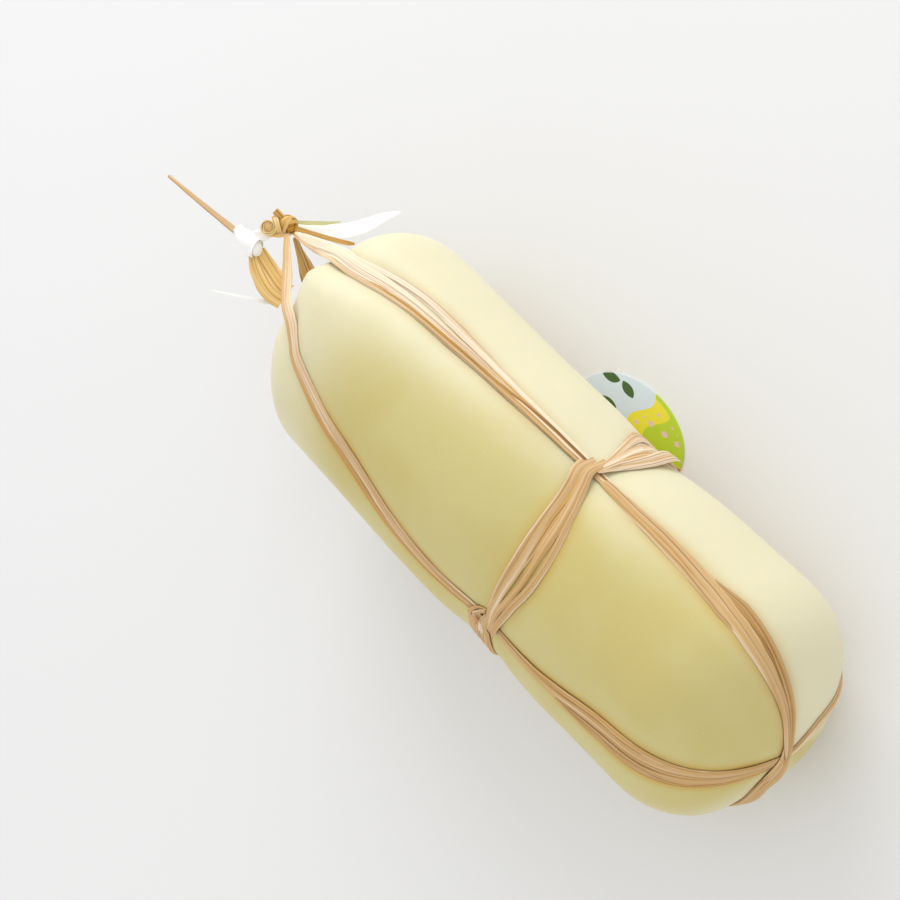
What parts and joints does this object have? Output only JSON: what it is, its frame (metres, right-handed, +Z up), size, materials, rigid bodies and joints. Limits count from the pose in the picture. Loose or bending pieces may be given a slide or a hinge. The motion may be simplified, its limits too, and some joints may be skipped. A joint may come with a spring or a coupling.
{
  "type": "caciocavallo cheese",
  "caption": "Whole stretched-curd cheese, a pale yellow sausage shape lying on its side in a tied raffia harness with a waist ring, a top knot, white ribbon ends and an oval card tag.",
  "frame": {"origin": "on the small flat spot that the cheese lies on, half way along the body, at table level", "axes": "+X from the knotted top end to the round bottom end, +Z up, +Y to the side where the tag lies"},
  "size_m": [0.3082, 0.0858, 0.0797],
  "materials": {
    "cheese_rind": "waxy satin rind, pale butter yellow with soft warmer patches",
    "raffia": "dry straw-coloured palm leaf strips with fibres along them",
    "dry_raffia": "golden brown dried leaf",
    "white_ribbon": "smooth white ribbon",
    "tag_card": "printed card in plain fields of green, yellow and pale blue"
  },
  "bodies": {
    "root": {"cheese": "cheese_rind", "strand_upper": "raffia", "strand_lower": "raffia", "ring": "raffia", "ring_hitch": "raffia", "top_knot": "raffia", "stalk": "dry_raffia", "ribbon_collar": "white_ribbon", "hang_leaf": "dry_raffia", "cut_tail": "dry_raffia", "ribbon_pennant": "white_ribbon", "ribbon_thread": "white_ribbon", "tag": "tag_card", "tag_tie": "raffia"}
  },
  "joints": []
}
